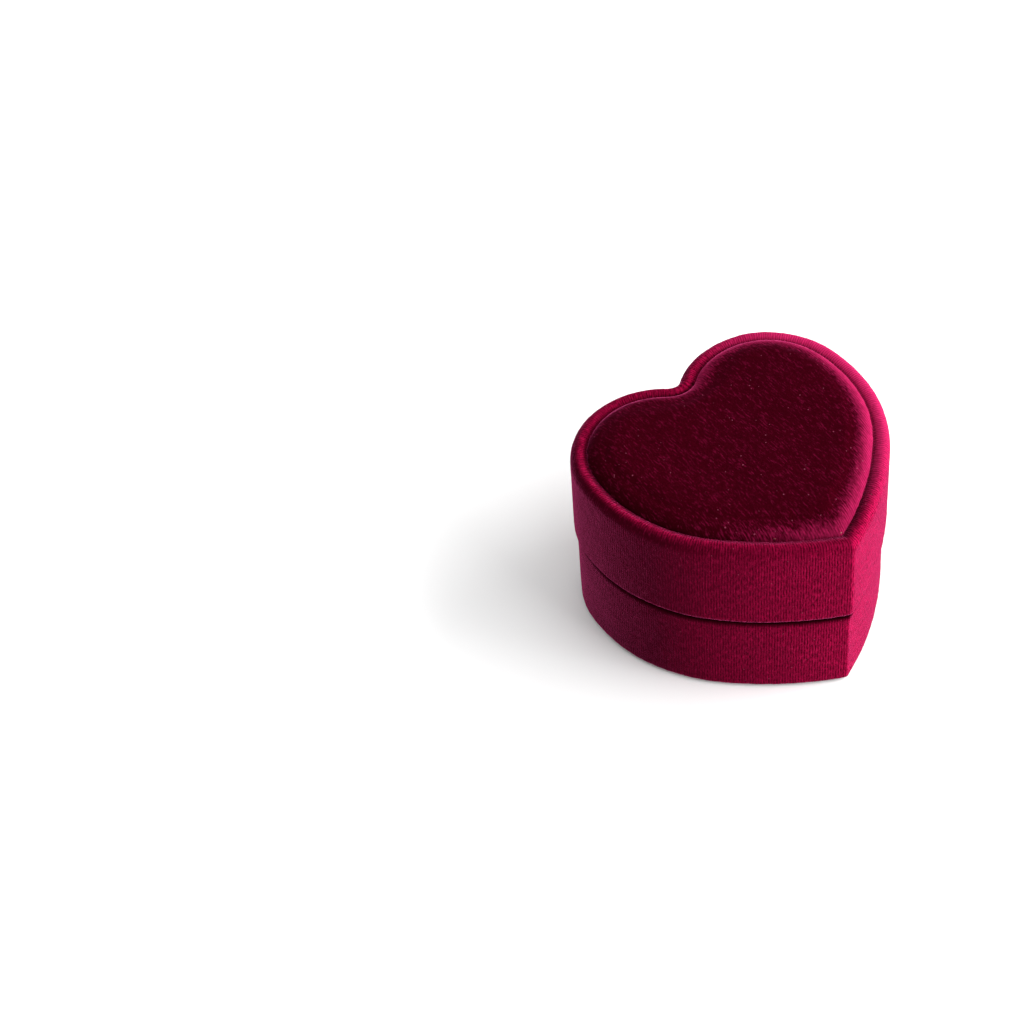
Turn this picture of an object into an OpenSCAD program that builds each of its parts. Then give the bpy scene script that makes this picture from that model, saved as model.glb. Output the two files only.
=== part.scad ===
// Heart-shaped velvet ring box with a hinged lid.
// Origin: centre of the footprint, on the surface the box stands on. +Z up, +Y to the hinge, -Y to the heart's tip.

/* [Outline] */
// Width of the heart over the velvet
box_w = 52; // [48:1:58]
// Radius of the upright edge at the heart's tip
tip_r = 1.2; // [1:0.1:1.5]
// Radius of the hollow between the two lobes
cleft_r = 1.2; // [1:0.1:1.5]

/* [Heights] */
// Height of the joint between base and lid
seam_h = 16.4; // [16:0.2:17.6]
// Height of the rolled rim round the top pad
rim_h = 33.4; // [32.6:0.2:36]
// How far the top pad stands above the rim
pad_rise = 1.0; // [0.6:0.1:1.4]

/* [Walls] */
// Thickness of the velvet with its glue
velvet_t = 0.7; // [0.6:0.05:0.8]
// Wall thickness of the moulded shells
shell_t = 1.8; // [1.6:0.1:2]
// Gap between base and lid when the box is shut
seam_gap = 0.3; // [0.2:0.1:0.4]

/* [Hinge] */
// Width of the hinge leaves
leaf_w = 8; // [7.6:0.2:8.4]
// Sheet thickness of the hinge leaves
leaf_t = 0.6; // [0.5:0.05:0.7]
// Outer radius of the hinge knuckles
knuckle_r = 1.3; // [1.25:0.05:1.35]
// Radius of the hinge pin
pin_r = 0.6; // [0.55:0.05:0.65]
// How far the lid is opened, 0 shut and 100 fully open
lid_angle = 0; // [0:5:100]

/* [Hidden] */
$fn = 64;

// Colours
velvet_top = [0.24, 0.01, 0.05];
velvet_side = [0.50, 0.02, 0.14];
satin = [0.93, 0.87, 0.78];
plastic = [0.16, 0.10, 0.10];
card = [0.62, 0.50, 0.36];
foam = [0.90, 0.89, 0.84];
felt = [0.20, 0.02, 0.05];
steel = [0.80, 0.70, 0.45];

// Outline. Each arc is named for its stretch; the angles are directions of the outward normal where arcs meet.
lobe_r = 0.288 * box_w;
side_r = 0.545 * box_w;
lobe_end = 10;
side_end = -42.6;
flank_end = -65;
flank_r = (box_w / 2 - side_r * (1 - cos(side_end)) - tip_r * cos(flank_end)) / (cos(side_end) - cos(flank_end));
lobe_x = box_w / 2 - side_r - (lobe_r - side_r) * cos(lobe_end);
c_lobe = [lobe_x, 0];
c_side = c_lobe + (lobe_r - side_r) * unit(lobe_end);
c_flank = c_side + (side_r - flank_r) * unit(side_end);
c_tip = c_flank + (flank_r - tip_r) * unit(flank_end);
c_cleft = [0, sqrt(pow(lobe_r + cleft_r, 2) - lobe_x * lobe_x)];
lobe_start = atan2(c_cleft.y, -lobe_x);
inner_tip_r = 0.3;
arc_step = 6;

// How far a cutter passes the face that it opens
past = 1;
far = 100;

// Base heights, from the underside up
sheet_t = 0.3;
sheet_in = 1.2;
turn_t = 0.5;
turn_fit = 0.1;
floor_z = sheet_t + turn_t;
floor_t = 1.6;
base_top = seam_h - seam_gap / 2;
base_rim = base_top - velvet_t;
turn_in = 6;
lining_drop = 0.8;

// Lid heights
lid_bottom = seam_h + seam_gap / 2;
lid_rim = lid_bottom + velvet_t;
lid_top = rim_h - 1.25;
lid_plate_t = 1.6;

// Soft rim round the top pad, which rolls over the lid's edge and slopes down to the pad
rim_r = 1.8;
rim_end = 70;
rim_dip = 0.8;
rim_w = 2.45;

// Distances in from the outline
shell_in = velvet_t + shell_t;
lining_in = shell_in + velvet_t;
lining_t = 0.8;
pad_fit = 0.2;
pad_in = lining_in + lining_t + pad_fit;
top_in = rim_w + 0.05;
skin_t = 0.5;
top_edge_r = 1.3;
edge_steps = 6;

// Ring pad in the base
insert_floor = floor_z + floor_t;
insert_board_t = 0.8;
insert_top = 11.9;
slot_l = 24;
slot_w = 1.2;
slot_depth = 7;
slot_y = -1.5;

// Pad in the lid
lid_pad_z = 25.9;
lid_pad_board_t = 0.8;
lid_pad_top = lid_top - lid_plate_t - pad_fit;

// Top pad
top_board_t = 1;
top_z = rim_h + pad_rise;

// Hinge
axis_y = lobe_r + 0.5;
pin_fit = 0.02;
knuckle_fit = 0.05;
knuckle_gap = 0.1;
lid_knuckle_w = 2.8;
base_leaf_z = seam_h - knuckle_r;
lid_leaf_z = seam_h + knuckle_r - leaf_t;
knuckle_slot = 0.3;
lug_w = 13;
lug_back = c_cleft.y - cleft_r - shell_t;
lug_d = 5.8;
lug_front = lug_back - lug_d;
lug_h = 4.4;
lug_fit = 0.1;
lug_clear = 0.5;
leaf_setback = 0.3;
leaf_clear = 0.3;
rivet_x = 3.2;
rivet_y = lug_front + 2.2;
rivet_r = 0.6;
rivet_head_r = 1.1;
rivet_crown_r = 0.8;
rivet_head_t = 0.5;
rivet_hole_l = 3;
rivet_l = 2.8;
spring_t = 0.3;
spring_w = 2.6;
spring_reach = 0.8;
pin_head_r = 0.9;
pin_head_t = 0.4;

// Depth over the hinge, and the shift that centres it on the origin
back_y = axis_y + knuckle_r;
front_y = c_tip.y - tip_r;
shift_y = -(back_y + front_y) / 2;

function unit(a) = [cos(a), sin(a)];

// Points along one arc, between two normal directions, without the first; nominal sets how many there are
function arc_points(centre, r, from, to, nominal) =
    let (n = ceil(abs(nominal) / arc_step))
    [for (i = [1:n]) centre + r * unit(from + (to - from) * i / n)];

// Right half of the outline moved in by inset, from the cleft to the tip. Every inset gives as many points.
function half_points(inset) =
    let (
        corner_r = max(tip_r - inset, inner_tip_r),
        reach = flank_r - inset - corner_r,
        corner_y = c_flank.y - sqrt(reach * reach - c_flank.x * c_flank.x),
        corner_angle = atan2(corner_y - c_flank.y, -c_flank.x)
    )
    concat(
        [c_cleft - [0, cleft_r + inset]],
        arc_points(c_cleft, cleft_r + inset, -90, lobe_start - 180, lobe_start - 90),
        arc_points(c_lobe, lobe_r - inset, lobe_start, lobe_end, lobe_start - lobe_end),
        arc_points(c_side, side_r - inset, lobe_end, side_end, lobe_end - side_end),
        arc_points(c_flank, flank_r - inset, side_end, corner_angle, side_end - flank_end),
        arc_points([0, corner_y], corner_r, corner_angle, -90, flank_end + 90)
    );

function heart_points(inset) =
    let (half = half_points(inset), n = len(half))
    concat(half, [for (i = [n - 2:-1:1]) [-half[i].x, half[i].y]]);

// A heart-shaped plate, moved in from the outline
module heart_plate(inset, z, h) {
    translate([0, 0, z])
        linear_extrude(h)
            polygon(heart_points(inset));
}

// A heart-shaped ring between two distances in from the outline
module heart_ring(outer, inner, z, h) {
    translate([0, 0, z])
        linear_extrude(h)
            difference() {
                polygon(heart_points(outer));
                polygon(heart_points(inner));
            }
}

// Carries a section round the heart. Each point of the section is [distance in from the outline, height], and
// the section either closes on itself or ends in two flat heart-shaped caps.
module heart_loft(section, closed) {
    loops = [for (p = section) [for (q = heart_points(p.x)) [q.x, q.y, p.y]]];
    n = len(loops[0]);
    m = len(section);
    polyhedron(
        points = [for (loop = loops) each loop],
        faces = concat(
            [for (j = [0:closed ? m - 1 : m - 2], i = [0:n - 1])
                [j * n + i, j * n + (i + 1) % n, ((j + 1) % m) * n + (i + 1) % n, ((j + 1) % m) * n + i]],
            closed ? [] : [[for (i = [n - 1:-1:0]) i], [for (i = [0:n - 1]) (m - 1) * n + i]]
        )
    );
}

// Points of a section's round edge, from one direction to another
function edge_points(centre, r, from, to) =
    [for (i = [0:edge_steps]) centre + r * unit(from + (to - from) * i / edge_steps)];

// A block centred on x, between two y and two z values
module block(w, y0, y1, z0, z1) {
    translate([-w / 2, y0, z0])
        cube([w, y1 - y0, z1 - z0]);
}

module on_both_sides(x) {
    for (side = [-1, 1])
        translate([side * x, 0, 0])
            children();
}

// Room for a hinge leaf to pass through a wall at the cleft
module leaf_way(z0, z1) {
    block(leaf_w + 2 * leaf_clear, lug_front, axis_y + far, z0, z1);
}

module rivet_holes(z, l) {
    on_both_sides(rivet_x)
        translate([0, rivet_y, z])
            cylinder(r = rivet_r, h = l);
}

/* Base */

module base_shell() {
    color(plastic)
        difference() {
            union() {
                heart_ring(velvet_t, shell_in, floor_z, base_rim - floor_z);
                heart_plate(velvet_t, floor_z, floor_t);
                block(lug_w, lug_front, lug_back, base_leaf_z - lug_h, base_leaf_z);
            }
            leaf_way(base_leaf_z, base_rim + past);
            block(spring_w + 2 * leaf_clear, lug_front - past, axis_y, base_leaf_z - spring_t, base_leaf_z + past);
            rivet_holes(base_leaf_z - rivet_hole_l, rivet_hole_l + past);
        }
}

module base_wrap() {
    color(velvet_side)
        difference() {
            heart_plate(0, sheet_t, base_top - sheet_t);
            heart_plate(turn_in, sheet_t - past, turn_t + 2 * past);
            heart_plate(velvet_t, floor_z, base_rim - turn_in - floor_z);
            heart_ring(velvet_t, shell_in, floor_z, base_rim - floor_z);
            heart_plate(lining_in, floor_z, far);
            leaf_way(base_leaf_z - spring_t, base_top + past);
            block(lug_w + 2 * lug_fit, lug_front - past, lug_back, base_leaf_z - lug_h - lug_fit, base_top + past);
        }
}

module base_sheet() {
    color(felt) {
        heart_plate(sheet_in, 0, sheet_t);
        heart_plate(turn_in + turn_fit, sheet_t, turn_t);
    }
}

module base_lining() {
    color(velvet_side)
        difference() {
            heart_ring(lining_in, lining_in + lining_t, insert_floor, base_top - lining_drop - insert_floor);
            lug_room(0);
        }
}

// Room round the base's hinge lug, wider by grow on each side
module lug_room(grow) {
    block(lug_w + 2 * lug_clear + 2 * grow, lug_front - past - grow, axis_y, 0, seam_h);
}

/* Ring pad in the base */

// Slot that a ring stands in, wider by grow on each side
module ring_slot(grow) {
    translate([0, slot_y, 0])
        block(
            slot_l + 2 * grow, -slot_w / 2 - grow, slot_w / 2 + grow,
            insert_top - slot_depth - grow, seam_h
        );
}

module insert_board() {
    color(card)
        difference() {
            heart_plate(pad_in, insert_floor, insert_board_t);
            lug_room(0);
        }
}

// The ring pad's foam, from height z
module insert_core(z) {
    difference() {
        heart_plate(pad_in + skin_t, z, insert_top - skin_t - z);
        lug_room(skin_t);
        ring_slot(skin_t);
    }
}

module insert_foam() {
    color(foam)
        insert_core(insert_floor + insert_board_t);
}

module insert_cover() {
    z = insert_floor + insert_board_t;
    color(velvet_side)
        difference() {
            heart_plate(pad_in, z, insert_top - z);
            lug_room(0);
            insert_core(z - past);
            ring_slot(0);
        }
}

/* Hinge */

// Sheet from the lug to the knuckles, at height z
module leaf_sheet(z) {
    difference() {
        block(leaf_w, lug_front + leaf_setback, axis_y, z, z + leaf_t);
        rivet_holes(z - past, leaf_t + 2 * past);
    }
}

// Turns a cylinder along x, centred on the hinge axis
module on_axis(l, r) {
    translate([-l / 2, axis_y, seam_h])
        rotate([0, 90, 0])
            cylinder(r = r, h = l);
}

// Room for the other leaf's knuckle, from height z up
module knuckle_room(w, z) {
    block(w, axis_y - knuckle_r - knuckle_slot, axis_y + knuckle_r + past, z, lid_leaf_z + leaf_t + past);
}

module hinge_base_leaf() {
    color(steel)
        difference() {
            union() {
                leaf_sheet(base_leaf_z);
                on_axis(leaf_w, knuckle_r);
            }
            knuckle_room(lid_knuckle_w + 2 * knuckle_gap, base_leaf_z - past);
            on_axis(leaf_w + past, pin_r + pin_fit);
        }
}

module hinge_lid_leaf() {
    color(steel)
        difference() {
            union() {
                difference() {
                    leaf_sheet(lid_leaf_z);
                    on_both_sides(leaf_w / 2)
                        knuckle_room(leaf_w - lid_knuckle_w, lid_leaf_z - past);
                }
                on_axis(lid_knuckle_w, knuckle_r - knuckle_fit);
                block(
                    lid_knuckle_w, axis_y - knuckle_r + leaf_t, axis_y,
                    lid_leaf_z - leaf_t / 2, lid_leaf_z + leaf_t - knuckle_fit
                );
            }
            on_axis(leaf_w, pin_r + knuckle_fit);
        }
}

module hinge_pin() {
    color(steel) {
        on_axis(leaf_w + 2 * pin_head_t, pin_r);
        on_both_sides(leaf_w / 2 + pin_head_t / 2 + pin_fit)
            on_axis(pin_head_t, pin_head_r);
    }
}

module hinge_spring() {
    color(steel)
        block(spring_w, lug_front + leaf_setback, axis_y + spring_reach, base_leaf_z - spring_t, base_leaf_z);
}

// Two rivets that go down through a leaf, whose upper face is at height z
module rivets(z) {
    l = leaf_t + rivet_l;
    on_both_sides(rivet_x)
        translate([0, rivet_y, z]) {
            translate([0, 0, -l])
                cylinder(r = rivet_r - pin_fit, h = l);
            cylinder(r1 = rivet_head_r, r2 = rivet_crown_r, h = rivet_head_t);
        }
}

module base_rivets() {
    color(steel)
        rivets(base_leaf_z + leaf_t);
}

module lid_rivets() {
    color(steel)
        mirror([0, 0, 1])
            rivets(-lid_leaf_z);
}

/* Lid */

module lid_shell() {
    color(plastic)
        difference() {
            union() {
                heart_ring(velvet_t, shell_in, lid_rim, lid_top - lid_rim);
                heart_plate(velvet_t, lid_top - lid_plate_t, lid_plate_t);
                block(lug_w, lug_front, lug_back, lid_leaf_z + leaf_t, lid_leaf_z + leaf_t + lug_h);
            }
            leaf_way(lid_rim - past, lid_leaf_z + leaf_t);
            rivet_holes(lid_leaf_z + leaf_t - past, rivet_hole_l + past);
        }
}

module lid_wrap() {
    section = concat(
        [[0, lid_bottom]],
        edge_points([rim_r, rim_h - rim_r], rim_r, 180, rim_end),
        [
            [rim_w, rim_h - rim_dip],
            [rim_w, lid_top],
            [velvet_t, lid_top],
            [velvet_t, lid_rim],
            [shell_in, lid_rim],
            [shell_in, lid_rim + turn_in],
            [lining_in, lid_rim + turn_in],
            [lining_in, lid_bottom]
        ]
    );
    color(velvet_side)
        difference() {
            heart_loft(section, true);
            leaf_way(lid_bottom - past, lid_leaf_z + leaf_t);
            block(
                lug_w + 2 * lug_fit, lug_front - past, lug_back,
                lid_bottom - past, lid_leaf_z + leaf_t + lug_h + lug_fit
            );
        }
}

module lid_lining() {
    color(satin)
        difference() {
            heart_ring(lining_in, lining_in + lining_t, lid_bottom + lining_drop, lid_pad_top - lid_bottom - lining_drop);
            block(
                lug_w + 2 * lug_clear, lug_front - past, axis_y,
                lid_bottom, lid_leaf_z + leaf_t + lug_h + lug_clear
            );
        }
}

module lid_pad_board() {
    color(card)
        heart_plate(pad_in, lid_pad_top - lid_pad_board_t, lid_pad_board_t);
}

module lid_pad_foam() {
    color(foam)
        heart_plate(pad_in + skin_t, lid_pad_z + skin_t, lid_pad_top - lid_pad_board_t - lid_pad_z - skin_t);
}

module lid_pad_satin() {
    h = lid_pad_top - lid_pad_board_t - lid_pad_z;
    color(satin)
        difference() {
            heart_plate(pad_in, lid_pad_z, h);
            heart_plate(pad_in + skin_t, lid_pad_z + skin_t, h);
        }
}

/* Pad on top of the lid */

module top_board() {
    color(card)
        heart_plate(top_in + skin_t, lid_top, top_board_t);
}

module top_foam() {
    color(foam)
        heart_plate(top_in + skin_t, lid_top + top_board_t, top_z - skin_t - lid_top - top_board_t);
}

module top_cover() {
    section = concat(
        [
            [top_in + skin_t, top_z - skin_t],
            [top_in + skin_t, lid_top],
            [top_in, lid_top]
        ],
        edge_points([top_in + top_edge_r, top_z - top_edge_r], top_edge_r, 180, 90)
    );
    color(velvet_top)
        heart_loft(section, false);
}

// Moves the lid's pieces with the hinge
module lid_pose() {
    translate([0, axis_y, seam_h])
        rotate([-lid_angle, 0, 0])
            translate([0, -axis_y, -seam_h])
                children();
}

translate([0, shift_y, 0]) {
    base_shell();
    base_wrap();
    base_sheet();
    base_lining();
    insert_board();
    insert_foam();
    insert_cover();
    hinge_base_leaf();
    hinge_pin();
    hinge_spring();
    base_rivets();
    lid_pose() lid_shell();
    lid_pose() lid_wrap();
    lid_pose() lid_lining();
    lid_pose() lid_pad_board();
    lid_pose() lid_pad_foam();
    lid_pose() lid_pad_satin();
    lid_pose() top_board();
    lid_pose() top_foam();
    lid_pose() top_cover();
    lid_pose() hinge_lid_leaf();
    lid_pose() lid_rivets();
}
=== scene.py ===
"""Velvet, satin, foam, card and metal of a heart-shaped ring box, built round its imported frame."""

import math

import bmesh
import bpy
import numpy as np
from bpy.props import FloatProperty, FloatVectorProperty, PointerProperty
from mathutils import Matrix, Vector, noise


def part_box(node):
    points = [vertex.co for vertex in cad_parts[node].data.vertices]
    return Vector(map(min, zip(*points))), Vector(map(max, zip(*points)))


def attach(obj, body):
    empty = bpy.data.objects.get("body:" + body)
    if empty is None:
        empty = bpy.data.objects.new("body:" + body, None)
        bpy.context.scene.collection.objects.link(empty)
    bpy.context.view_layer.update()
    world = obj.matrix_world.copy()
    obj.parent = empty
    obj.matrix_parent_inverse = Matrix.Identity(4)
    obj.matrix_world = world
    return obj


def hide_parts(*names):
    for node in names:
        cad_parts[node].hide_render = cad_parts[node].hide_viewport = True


bl_info = {
    "name": "Velvet Heart Box",
    "version": (1, 0, 0),
    "blender": (4, 5, 0),
    "location": "3D View > Sidebar > Heart Box",
    "description": "Builds the covers, pads and finishes of a heart-shaped ring box round its frame",
    "category": "Object",
}

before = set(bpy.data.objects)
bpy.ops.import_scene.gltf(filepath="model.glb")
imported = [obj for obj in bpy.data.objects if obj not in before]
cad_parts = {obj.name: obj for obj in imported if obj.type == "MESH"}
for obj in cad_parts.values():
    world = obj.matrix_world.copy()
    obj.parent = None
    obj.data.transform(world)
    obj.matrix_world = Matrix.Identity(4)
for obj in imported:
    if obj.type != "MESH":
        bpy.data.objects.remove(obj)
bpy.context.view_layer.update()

OUTLINE_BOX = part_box("base_wrap")

MM = 0.001
WEAVE_UV = "weave"

# How the covers lie on the shells
VELVET_T = 0.7 * MM
SHELL_T = 1.8 * MM
LINING_T = 0.8 * MM
SKIN_T = 0.5 * MM
SHELL_INSET = VELVET_T + SHELL_T
LINING_INSET = SHELL_INSET + VELVET_T
PAD_INSET = LINING_INSET + LINING_T + 0.2 * MM
TURNED_IN = 6.7 * MM
TURNED_UNDER = 6 * MM
BACKING_GAP = 0.05 * MM
PAD_CLEAR = 0.3 * MM
TURN_R = 0.1 * MM
CARD_EDGE_R = 0.35 * MM

# How uneven the covers are, in layers of (amount, size), and how far each pad may swell
WALL_DENTS = [(0.10 * MM, 9 * MM), (0.035 * MM, 1.1 * MM), (0.03 * MM, 0.4 * MM)]
PAD_GRAIN = [(0.04 * MM, 1.2 * MM), (0.03 * MM, 0.4 * MM)]
TOP_SWELL = 0.4 * MM
RING_SWELL = 0.5 * MM
SATIN_SWELL = 0.9 * MM
GLUED_EDGE = 0.5 * MM
PLEAT_RISE = 0.16 * MM
PLEAT_REACH = 7 * MM

# Mesh sizes of the pads and of their foam
TOP_VOXEL = 0.5 * MM
PAD_VOXEL = 0.42 * MM
CORE_VOXEL = 0.4 * MM

# Room that the covers leave for the hinge, and how far a room runs on past the box
LEAF_CLEAR = 0.3 * MM
LUG_WIDTH = 13 * MM
LUG_HEIGHT = 4.4 * MM
LUG_WALL = 1.8 * MM
LUG_FRONT = 1.3 * MM
LUG_GAP = 0.1 * MM
BEYOND = 5 * MM

# The slot for a ring
SLOT_LENGTH = 24 * MM
SLOT_WIDTH = 1.2 * MM
SLOT_DEPTH = 7 * MM
SLOT_FROM_BACK = 16.5 * MM

# Cloth is simulated this many times larger, where the solver's steps are fine enough
SIM_SCALE = 20
SIM_FRAMES = 20

# Direction whose facing surfaces get painted light and whose far side gets painted shade, the spacing of
# the pile's rows, and the marks for opened pile with painted sheen and for painted shade in creases
PAINTED_LIGHT_FROM = (0.90, -0.30, -0.25)
ROW_PITCH = 0.44 * MM
SPLAY_AND_SHEEN = "splay_and_sheen"
PAINTED_CREASE_SHADE = "painted_crease_shade"
SPLAY_AND_SHEEN_WIDTH = 3.6 * MM


class HeartBoxShape(bpy.types.PropertyGroup):
    """Sizes of the heart's outline and of the soft edges on it"""

    lobe_share: FloatProperty(
        name="Lobe radius", description="Radius of a lobe as a share of the heart's width",
        default=0.288, min=0.2, max=0.4)
    side_share: FloatProperty(
        name="Side radius", description="Radius of a side as a share of the heart's width",
        default=0.545, min=0.4, max=0.8)
    lobe_end: FloatProperty(
        name="Lobe end", description="Direction of the outline's normal where a lobe meets the side",
        default=math.radians(10), subtype="ANGLE")
    side_end: FloatProperty(
        name="Side end", description="Direction of the outline's normal where a side meets the flank",
        default=math.radians(-42.6), subtype="ANGLE")
    flank_end: FloatProperty(
        name="Flank end", description="Direction of the outline's normal where a flank meets the tip",
        default=math.radians(-65), subtype="ANGLE")
    tip_radius: FloatProperty(
        name="Tip radius", description="Radius of the upright edge at the tip",
        default=1.2 * MM, unit="LENGTH", precision=5)
    cleft_radius: FloatProperty(
        name="Cleft radius", description="Radius of the hollow between the lobes",
        default=2.0 * MM, unit="LENGTH", precision=5)
    step: FloatProperty(
        name="Mesh step", description="Spacing of the mesh points along the velvet",
        default=0.36 * MM, unit="LENGTH", precision=5)
    seam_round: FloatProperty(
        name="Seam edge", description="Radius of the velvet's edge where base and lid meet",
        default=0.75 * MM, unit="LENGTH", precision=5)
    foot_round: FloatProperty(
        name="Foot edge", description="Radius of the velvet's edge round the foot",
        default=0.7 * MM, unit="LENGTH", precision=5)
    rim_round: FloatProperty(
        name="Rim edge", description="Radius of the lid's outer top edge",
        default=2.0 * MM, unit="LENGTH", precision=5)
    rim_slope: FloatProperty(
        name="Rim slope", description="Width and height of the soft slope from the lid's wall to its rim",
        default=1.1 * MM, unit="LENGTH", precision=5)
    rim_dip: FloatProperty(
        name="Rim dip", description="How far the lid's top falls from its rim to the foot of the pad",
        default=0.8 * MM, unit="LENGTH", precision=5)
    overhang: FloatProperty(
        name="Lid overhang", description="How far the lid's wall stands out past the base's",
        default=0.50 * MM, unit="LENGTH", precision=5)
    pad_round: FloatProperty(
        name="Pad edge", description="Radius of the top pad's edge before it is stuffed",
        default=3.0 * MM, unit="LENGTH", precision=5)
    pad_slope: FloatProperty(
        name="Pad slope", description="Width and height of the slope round the top pad",
        default=1.5 * MM, unit="LENGTH", precision=5)
    pad_rise: FloatProperty(
        name="Pad rise", description="How far the top pad's edge stands above the rim",
        default=1.1 * MM, unit="LENGTH", precision=5)


class HeartBoxColours(bpy.types.PropertyGroup):
    """Colours of the cloths, boards and metals"""

    wall: FloatVectorProperty(
        name="Wall velvet", description="Pile on the walls, seen from its side",
        default=(0.36, 0.0035, 0.046), size=3, subtype="COLOR", min=0, max=1)
    # Painted shade: the velvet on the top pad is the wall velvet painted about nine times darker, for pile
    # that faces up.
    top: FloatVectorProperty(
        name="Top velvet", description="Pile on the top pad, which swallows the light",
        default=(0.040, 0.0003, 0.0038), size=3, subtype="COLOR", min=0, max=1)
    lustre: FloatVectorProperty(
        name="Velvet lustre", description="Light that the tips of the pile scatter",
        default=(1.0, 0.11, 0.36), size=3, subtype="COLOR", min=0, max=1)
    # Pink of opened pile with painted sheen on the lid's rim and the pad's edge.
    opened_pile_sheen: FloatVectorProperty(
        name="Opened pile", description="Pile that opens on the lid's rim and the pad's edge",
        default=(0.56, 0.018, 0.115), size=3, subtype="COLOR", min=0, max=1)
    lint: FloatVectorProperty(
        name="Lint", description="Loose fibres caught in the pile",
        default=(0.30, 0.07, 0.12), size=3, subtype="COLOR", min=0, max=1)
    satin: FloatVectorProperty(
        name="Satin", description="Satin in the lid",
        default=(0.56, 0.47, 0.35), size=3, subtype="COLOR", min=0, max=1)
    foam: FloatVectorProperty(
        name="Foam", description="Foam inside the pads",
        default=(0.80, 0.77, 0.66), size=3, subtype="COLOR", min=0, max=1)
    board: FloatVectorProperty(
        name="Board", description="Grey-brown board inside the pads",
        default=(0.36, 0.27, 0.17), size=3, subtype="COLOR", min=0, max=1)
    shell: FloatVectorProperty(
        name="Shell", description="Moulded shells under the velvet",
        default=(0.050, 0.010, 0.014), size=3, subtype="COLOR", min=0, max=1)
    foot_paper: FloatVectorProperty(
        name="Foot paper", description="Grained paper under the base",
        default=(0.030, 0.004, 0.008), size=3, subtype="COLOR", min=0, max=1)
    gilt: FloatVectorProperty(
        name="Gilt", description="Plating of the hinge",
        default=(0.83, 0.60, 0.27), size=3, subtype="COLOR", min=0, max=1)
    spring_steel: FloatVectorProperty(
        name="Spring steel", description="Blued steel of the hinge spring",
        default=(0.33, 0.35, 0.40), size=3, subtype="COLOR", min=0, max=1)


class HeartBoxStage(bpy.types.PropertyGroup):
    """Where the camera stands, and the light"""

    azimuth: FloatProperty(
        name="Azimuth", description="Camera's direction round the box, from the tip",
        default=math.radians(-31.092), subtype="ANGLE")
    elevation: FloatProperty(
        name="Elevation", description="Camera's height above the horizon",
        default=math.radians(46.689), subtype="ANGLE")
    roll: FloatProperty(
        name="Roll", description="Tilt of the camera about its own line of sight",
        default=math.radians(-5.305), subtype="ANGLE")
    distance: FloatProperty(
        name="Distance", description="From the camera to the point that it aims at",
        default=471.5 * MM, unit="LENGTH")
    aim_x: FloatProperty(
        name="Aim X", description="Point on the floor that the camera aims at",
        default=-21.58 * MM, unit="LENGTH", precision=5)
    aim_y: FloatProperty(
        name="Aim Y", description="Point on the floor that the camera aims at",
        default=39.68 * MM, unit="LENGTH", precision=5)
    lens: FloatProperty(
        name="Lens", description="Focal length in millimetres on a 36 mm sensor",
        default=94.76, min=20, max=300)
    surround: FloatProperty(
        name="Surround", description="Strength of the white room's light",
        default=1.05, min=0)
    surround_left: FloatProperty(
        name="Surround on the left", description="Strength of the room's light from the shaded side",
        default=0.60, min=0)
    key_power: FloatProperty(
        name="Key light", description="Power of the softbox on the right, in watts",
        default=17.5, min=0)
    front_power: FloatProperty(
        name="Front light", description="Power of the softbox in front of the tip, in watts",
        default=8.0, min=0)
    floor: FloatVectorProperty(
        name="Floor", description="Colour of the floor",
        default=(0.96, 0.96, 0.96), size=3, subtype="COLOR", min=0, max=1)


# Outline


def arc(centre, radius, first, last, count):
    """Points along an arc between two directions, without the first, as an array."""
    turn = np.linspace(first, last, count + 1)[1:]
    return np.column_stack([centre[0] + radius * np.cos(turn), centre[1] + radius * np.sin(turn)])


def toward(angle, length):
    return np.array([math.cos(angle), math.sin(angle)]) * length


def heart_outline(shape, inset, step):
    """Points of the heart's outline moved in by inset, clockwise from the cleft.

    Every inset gives as many points, so that a loft can join them.
    """
    low, high = OUTLINE_BOX
    width = high.x - low.x
    lobe_r, side_r = shape.lobe_share * width, shape.side_share * width
    first, second, third = shape.lobe_end, shape.side_end, shape.flank_end
    tip_r, cleft_r = shape.tip_radius, shape.cleft_radius
    flank_r = ((width / 2 - side_r * (1 - math.cos(second)) - tip_r * math.cos(third))
               / (math.cos(second) - math.cos(third)))
    lobe = np.array([width / 2 - side_r - (lobe_r - side_r) * math.cos(first), high.y - lobe_r])
    side = lobe + toward(first, lobe_r - side_r)
    flank = side + toward(second, side_r - flank_r)
    cleft = np.array([0, lobe[1] + math.sqrt((lobe_r + cleft_r) ** 2 - lobe[0] ** 2)])
    start = math.atan2(cleft[1] - lobe[1], -lobe[0])
    corner_r = max(tip_r - inset, 0.3 * MM)
    corner_y = flank[1] - math.sqrt((flank_r - inset - corner_r) ** 2 - flank[0] ** 2)
    corner_turn = math.atan2(corner_y - flank[1], -flank[0])
    quarter = math.pi / 2

    def count(radius, turn):
        return max(4, math.ceil(radius * abs(turn) / step))

    half = np.vstack([
        [[0, cleft[1] - cleft_r - inset]],
        arc(cleft, cleft_r + inset, -quarter, start - math.pi, 3 * count(cleft_r, start - quarter)),
        arc(lobe, lobe_r - inset, start, first, count(lobe_r, start - first)),
        arc(side, side_r - inset, first, second, count(side_r, first - second)),
        arc(flank, flank_r - inset, second, corner_turn, count(flank_r, second - third)),
        arc((0, corner_y), corner_r, corner_turn, -quarter, 2 * count(tip_r, third + quarter)),
    ])
    other = half[-2:0:-1] * (-1, 1)
    return np.vstack([half, other])


def cleft_bottom(shape):
    """How far back the hollow between the lobes reaches, on the outline."""
    return heart_outline(shape, 0, shape.step)[0][1]


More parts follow.
